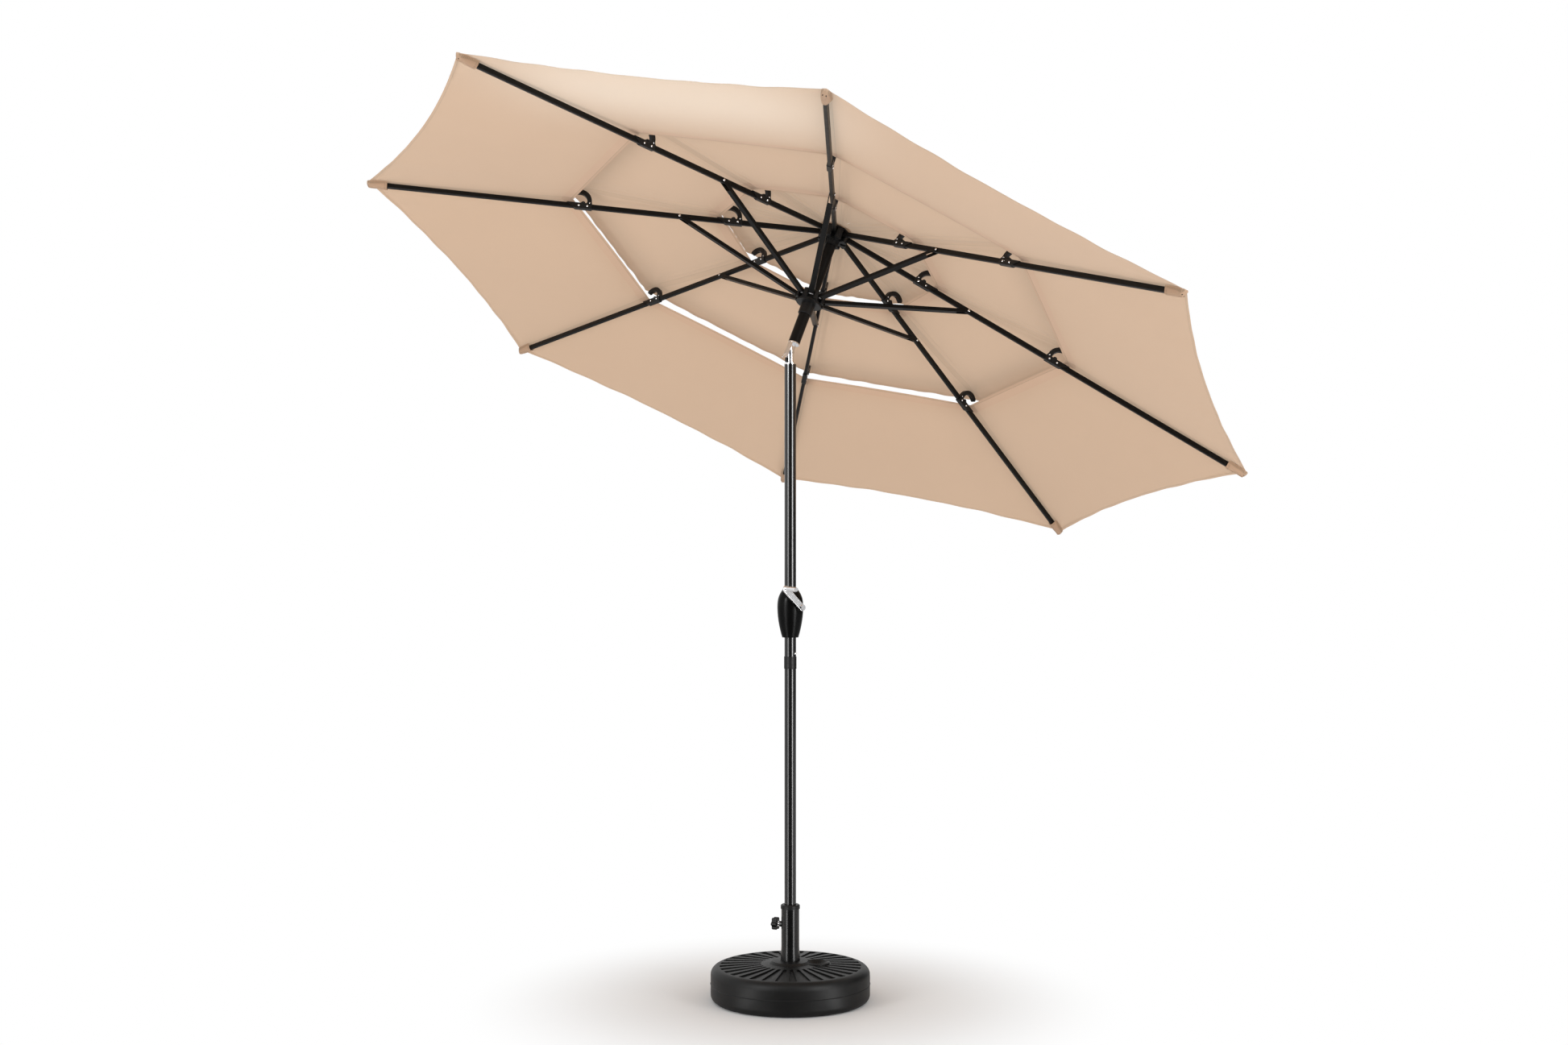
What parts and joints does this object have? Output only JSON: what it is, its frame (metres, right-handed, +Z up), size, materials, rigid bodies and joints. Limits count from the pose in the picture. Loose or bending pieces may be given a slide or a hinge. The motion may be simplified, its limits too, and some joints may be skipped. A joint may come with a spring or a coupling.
{
  "type": "patio umbrella with base",
  "caption": "Crank patio umbrella: tiered vented canopy on folding ribs, push-button tilt, two-piece pole with crank housing, round weighted base with socket tube and clamp knob.",
  "frame": {"origin": "centre of the base's underside, on the floor", "axes": "+Z up along the lower pole; +X the way the canopy leans; the tilt axis is parallel to Y"},
  "size_m": [2.7246, 3.0514, 2.9047],
  "materials": {
    "black_plastic": "satin",
    "base_plastic": "textured",
    "pole_paint": "satin",
    "frame_paint": "satin",
    "chrome": "polished",
    "steel": "plain",
    "gloss_black": "gloss",
    "cloth": "woven",
    "cord": "braided"
  },
  "bodies": {
    "base": {"base_shell": "base_plastic", "base_tube": "pole_paint", "clamp_nut": "pole_paint"},
    "filler_cap": {"filler_cap": "base_plastic"},
    "clamp_knob": {"clamp_knob": "black_plastic"},
    "collar": {"tube_collar": "black_plastic"},
    "mast": {"lower_pole": "pole_paint", "pole_foot": "black_plastic", "joint_sleeve": "black_plastic", "snap_spring": "steel", "mid_pole": "pole_paint", "housing_front": "gloss_black", "housing_rear": "gloss_black", "tilt_knuckle": "chrome", "tilt_pin": "chrome", "lift_cord_lower": "cord"},
    "snap_button": {"snap_button": "chrome"},
    "tilt_button": {"tilt_button": "black_plastic"},
    "crank": {"crank_arm": "chrome", "crank_spool": "steel"},
    "crank_grip": {"crank_grip": "chrome"},
    "upper_mast": {"upper_pole": "pole_paint", "tilt_bracket": "chrome", "hub": "black_plastic", "hub_pins": "steel", "finial": "black_plastic", "canopy_top": "cloth", "canopy_middle": "cloth", "canopy_lower": "cloth", "lift_cord_upper": "cord"},
    "pulley": {"pulley": "black_plastic"},
    "runner": {"runner": "black_plastic", "runner_pins": "steel"},
    "rib_1": {"rib_1": "frame_paint", "clips_1": "black_plastic"},
    "strut_1": {"strut_1": "frame_paint"},
    "rib_2": {"rib_2": "frame_paint", "clips_2": "black_plastic"},
    "strut_2": {"strut_2": "frame_paint"},
    "rib_3": {"rib_3": "frame_paint", "clips_3": "black_plastic"},
    "strut_3": {"strut_3": "frame_paint"},
    "rib_4": {"rib_4": "frame_paint", "clips_4": "black_plastic"},
    "strut_4": {"strut_4": "frame_paint"},
    "rib_5": {"rib_5": "frame_paint", "clips_5": "black_plastic"},
    "strut_5": {"strut_5": "frame_paint"},
    "rib_6": {"rib_6": "frame_paint", "clips_6": "black_plastic"},
    "strut_6": {"strut_6": "frame_paint"},
    "rib_7": {"rib_7": "frame_paint", "clips_7": "black_plastic"},
    "strut_7": {"strut_7": "frame_paint"},
    "rib_8": {"rib_8": "frame_paint", "clips_8": "black_plastic"},
    "strut_8": {"strut_8": "frame_paint"}
  },
  "joints": [
    {"name": "filler_cap_turn", "type": "hinge", "parent": "base", "child": "filler_cap", "pos_m": [0.06186, -0.05974, 0.11], "axis": [0, 0, 1], "range_deg": [0, 540]},
    {"name": "clamp_knob_turn", "type": "hinge", "parent": "base", "child": "clamp_knob", "pos_m": [-0.01873, 0.04636, 0.247], "axis": [0.3746, -0.9272, 0], "range_deg": [0, 720]},
    {"name": "mast_swivel", "type": "hinge", "parent": "base", "child": "collar", "pos_m": [0, 0, 0.3], "axis": [0, 0, 1], "continuous": true},
    {"name": "mast_lift", "type": "slide", "parent": "collar", "child": "mast", "axis": [0, 0, 1], "range_m": [0, 0.262]},
    {"name": "snap_button_press", "type": "slide", "parent": "mast", "child": "snap_button", "axis": [-0.225, 0.9744, 0], "range_m": [0, 0.004], "stiffness_N_per_m": 1200},
    {"name": "tilt_button_press", "type": "slide", "parent": "mast", "child": "tilt_button", "axis": [1, 0, 0], "range_m": [0, 0.0025], "stiffness_N_per_m": 1500},
    {"name": "canopy_tilt", "type": "hinge", "parent": "mast", "child": "upper_mast", "pos_m": [0, 0, 2.1197], "axis": [0, 1, 0], "range_deg": [-26.86, 0]},
    {"name": "crank_turn", "type": "hinge", "parent": "mast", "child": "crank", "pos_m": [0, 0, 1.288], "axis": [0, 1, 0], "range_deg": [-540, 0]},
    {"name": "crank_grip_spin", "type": "hinge", "parent": "crank", "child": "crank_grip", "pos_m": [-0.07303, -0.08, 1.35], "axis": [0, 1, 0], "continuous": true},
    {"name": "pulley_turn", "type": "hinge", "parent": "upper_mast", "child": "pulley", "pos_m": [0.19264, 0, 2.51579], "axis": [0, 1, 0], "range_deg": [-420, 0]},
    {"name": "runner_slide", "type": "slide", "parent": "upper_mast", "child": "runner", "axis": [-0.4518, 0, -0.8921], "range_m": [0, 0.1005]},
    {"name": "canopy_fold", "type": "hinge", "parent": "upper_mast", "child": "rib_1", "pos_m": [0.23918, 0, 2.50344], "axis": [0, 1, 0], "range_deg": [0, 54.5], "deforming": ["canopy_top", "canopy_middle", "canopy_lower", "lift_cord_upper"]},
    {"name": "rib_2_fold", "type": "hinge", "parent": "upper_mast", "child": "rib_2", "pos_m": [0.22873, 0.02828, 2.50873], "axis": [-0.6308, 0.7071, 0.3195], "range_deg": [0, 54.5]},
    {"name": "rib_3_fold", "type": "hinge", "parent": "upper_mast", "child": "rib_3", "pos_m": [0.2035, 0.04, 2.52151], "axis": [-0.8921, 0, 0.4518], "range_deg": [0, 54.5]},
    {"name": "rib_4_fold", "type": "hinge", "parent": "upper_mast", "child": "rib_4", "pos_m": [0.17826, 0.02828, 2.53429], "axis": [-0.6308, -0.7071, 0.3195], "range_deg": [0, 54.5]},
    {"name": "rib_5_fold", "type": "hinge", "parent": "upper_mast", "child": "rib_5", "pos_m": [0.16781, 0, 2.53958], "axis": [0, -1, 0], "range_deg": [0, 54.5]},
    {"name": "rib_6_fold", "type": "hinge", "parent": "upper_mast", "child": "rib_6", "pos_m": [0.17826, -0.02828, 2.53429], "axis": [0.6308, -0.7071, -0.3195], "range_deg": [0, 54.5]},
    {"name": "rib_7_fold", "type": "hinge", "parent": "upper_mast", "child": "rib_7", "pos_m": [0.2035, -0.04, 2.52151], "axis": [0.8921, 0, -0.4518], "range_deg": [0, 54.5]},
    {"name": "rib_8_fold", "type": "hinge", "parent": "upper_mast", "child": "rib_8", "pos_m": [0.22873, -0.02828, 2.50873], "axis": [0.6308, 0.7071, -0.3195], "range_deg": [0, 54.5]},
    {"name": "strut_1_fold", "type": "hinge", "parent": "runner", "child": "strut_1", "pos_m": [0.13009, 0, 2.28361], "axis": [0, 1, 0], "range_deg": [0, 73]},
    {"name": "strut_2_fold", "type": "hinge", "parent": "runner", "child": "strut_2", "pos_m": [0.11912, 0.0297, 2.28917], "axis": [-0.6308, 0.7071, 0.3195], "range_deg": [0, 73]},
    {"name": "strut_3_fold", "type": "hinge", "parent": "runner", "child": "strut_3", "pos_m": [0.09262, 0.042, 2.30258], "axis": [-0.8921, 0, 0.4518], "range_deg": [0, 73]},
    {"name": "strut_4_fold", "type": "hinge", "parent": "runner", "child": "strut_4", "pos_m": [0.06613, 0.0297, 2.316], "axis": [-0.6308, -0.7071, 0.3195], "range_deg": [0, 73]},
    {"name": "strut_5_fold", "type": "hinge", "parent": "runner", "child": "strut_5", "pos_m": [0.05515, 0, 2.32156], "axis": [0, -1, 0], "range_deg": [0, 73]},
    {"name": "strut_6_fold", "type": "hinge", "parent": "runner", "child": "strut_6", "pos_m": [0.06613, -0.0297, 2.316], "axis": [0.6308, -0.7071, -0.3195], "range_deg": [0, 73]},
    {"name": "strut_7_fold", "type": "hinge", "parent": "runner", "child": "strut_7", "pos_m": [0.09262, -0.042, 2.30258], "axis": [0.8921, 0, -0.4518], "range_deg": [0, 73]},
    {"name": "strut_8_fold", "type": "hinge", "parent": "runner", "child": "strut_8", "pos_m": [0.11912, -0.0297, 2.28917], "axis": [0.6308, 0.7071, -0.3195], "range_deg": [0, 73]}
  ],
  "couplings": [
    {"joint": "crank_turn", "follows": "canopy_fold", "ratio": -9.8},
    {"joint": "pulley_turn", "follows": "canopy_fold", "ratio": -7.4468},
    {"joint": "runner_slide", "follows": "canopy_fold", "m_per_rad": 0.105},
    {"joint": "rib_2_fold", "follows": "canopy_fold", "ratio": 1},
    {"joint": "rib_3_fold", "follows": "canopy_fold", "ratio": 1},
    {"joint": "rib_4_fold", "follows": "canopy_fold", "ratio": 1},
    {"joint": "rib_5_fold", "follows": "canopy_fold", "ratio": 1},
    {"joint": "rib_6_fold", "follows": "canopy_fold", "ratio": 1},
    {"joint": "rib_7_fold", "follows": "canopy_fold", "ratio": 1},
    {"joint": "rib_8_fold", "follows": "canopy_fold", "ratio": 1},
    {"joint": "strut_1_fold", "follows": "canopy_fold", "ratio": 1.3366},
    {"joint": "strut_2_fold", "follows": "canopy_fold", "ratio": 1.3366},
    {"joint": "strut_3_fold", "follows": "canopy_fold", "ratio": 1.3366},
    {"joint": "strut_4_fold", "follows": "canopy_fold", "ratio": 1.3366},
    {"joint": "strut_5_fold", "follows": "canopy_fold", "ratio": 1.3366},
    {"joint": "strut_6_fold", "follows": "canopy_fold", "ratio": 1.3366},
    {"joint": "strut_7_fold", "follows": "canopy_fold", "ratio": 1.3366},
    {"joint": "strut_8_fold", "follows": "canopy_fold", "ratio": 1.3366}
  ]
}
